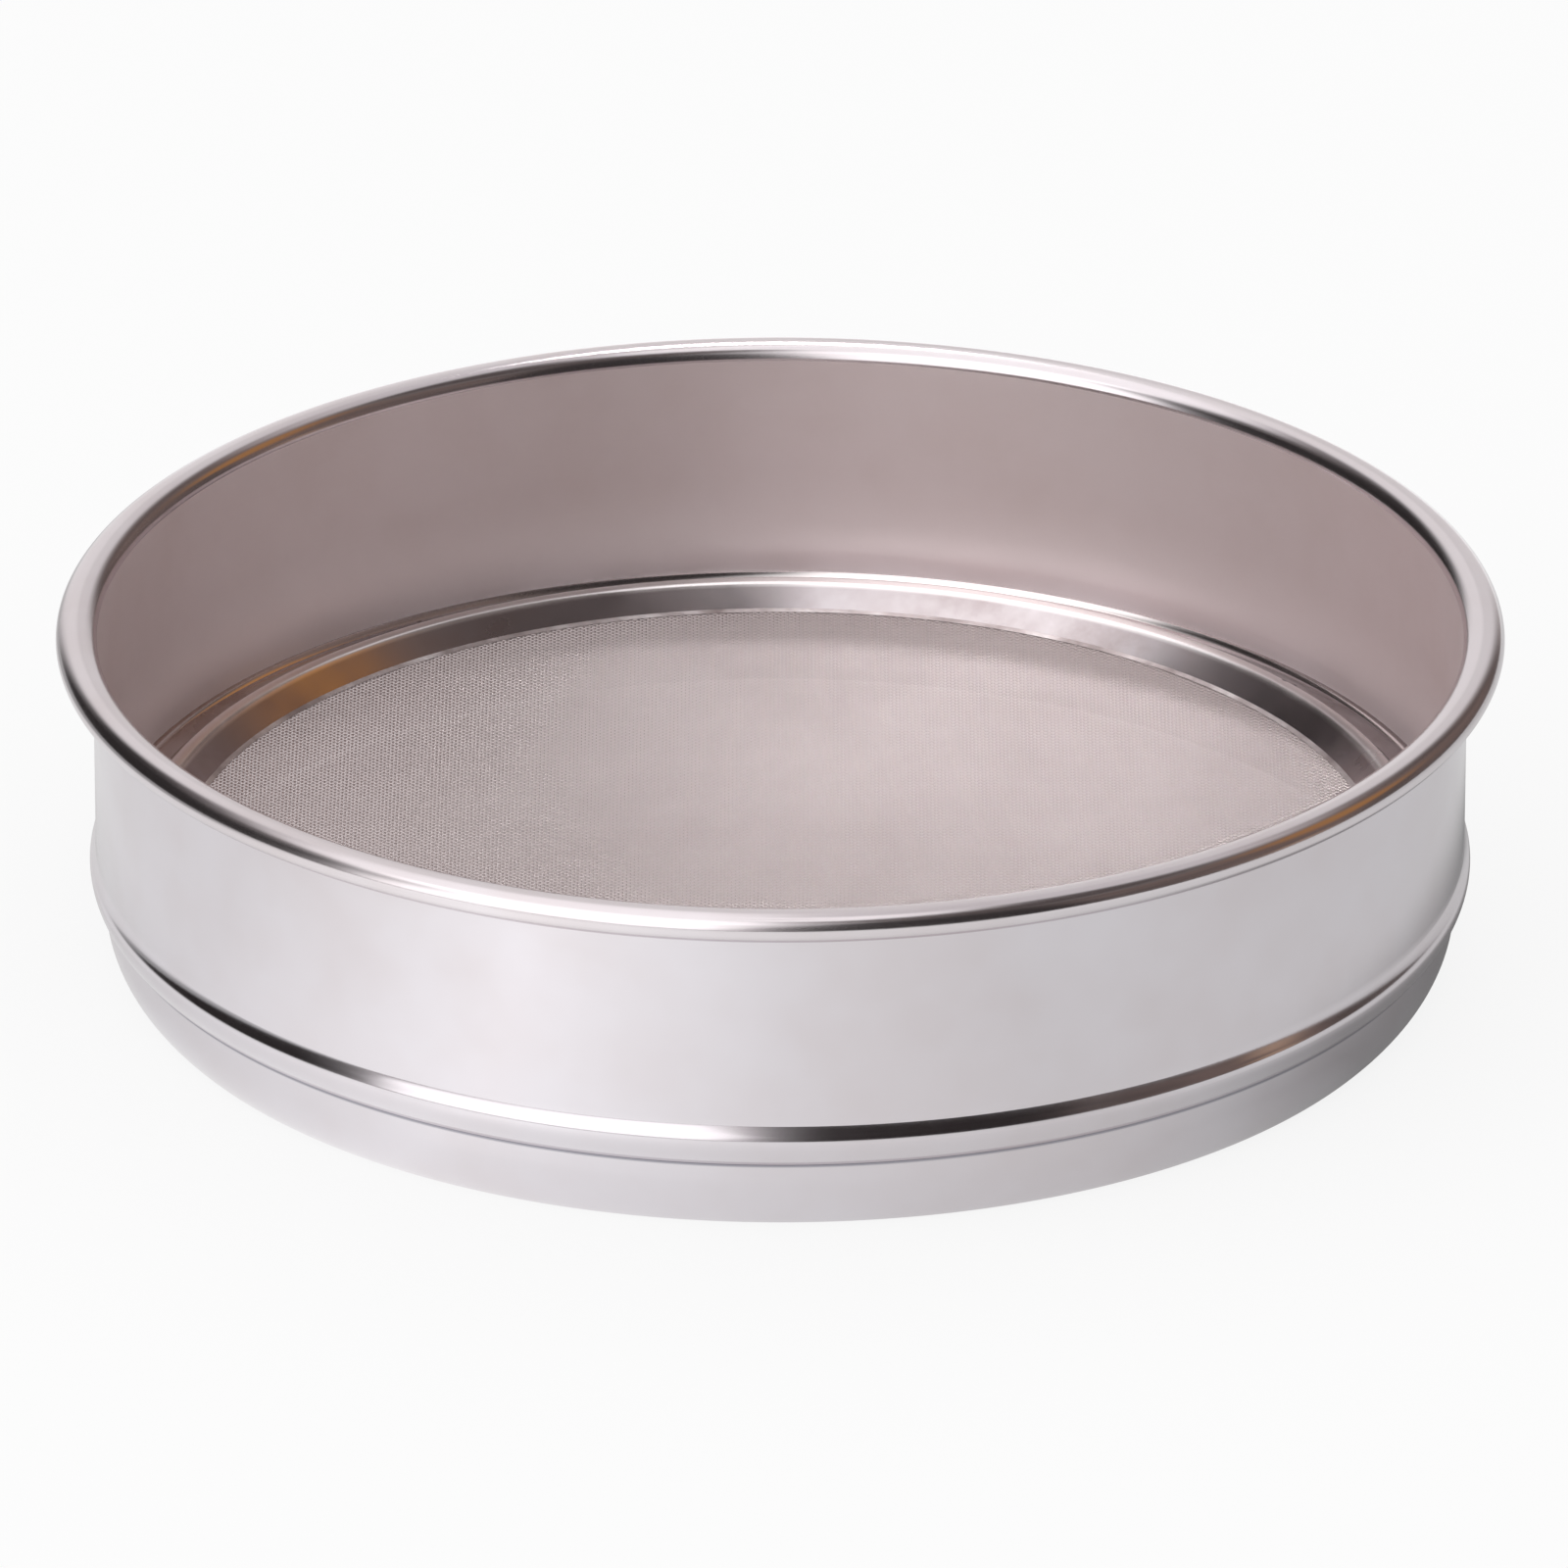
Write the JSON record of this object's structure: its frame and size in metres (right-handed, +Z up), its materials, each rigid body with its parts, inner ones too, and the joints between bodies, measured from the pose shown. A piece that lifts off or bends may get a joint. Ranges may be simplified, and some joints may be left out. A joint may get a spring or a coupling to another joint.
{
  "type": "drum sieve",
  "caption": "Round steel drum sieve with a rolled rim, a fine flat wire cloth under an arched ring, and a skirt that nests in the mouth of a like sieve.",
  "frame": {"origin": "on the drum's axis at the lowest edge of the skirt, where the sieve stands on a table", "axes": "+Z up along the drum's axis from the skirt to the rolled rim, +Y to the back of the picture, +X to its right"},
  "size_m": [0.212, 0.212, 0.0525],
  "materials": {
    "drum_steel": "polished outside, satin inside",
    "skirt_steel": "satin polished",
    "ring_steel": "polished",
    "cloth_wire": "woven wire, matt",
    "solder": "dull grey soft solder"
  },
  "bodies": {
    "root": {"drum_frame": "drum_steel", "nesting_skirt": "skirt_steel", "wire_cloth": "cloth_wire", "cloth_ring": "ring_steel", "cloth_solder": "solder", "wall_solder": "solder"}
  },
  "joints": []
}
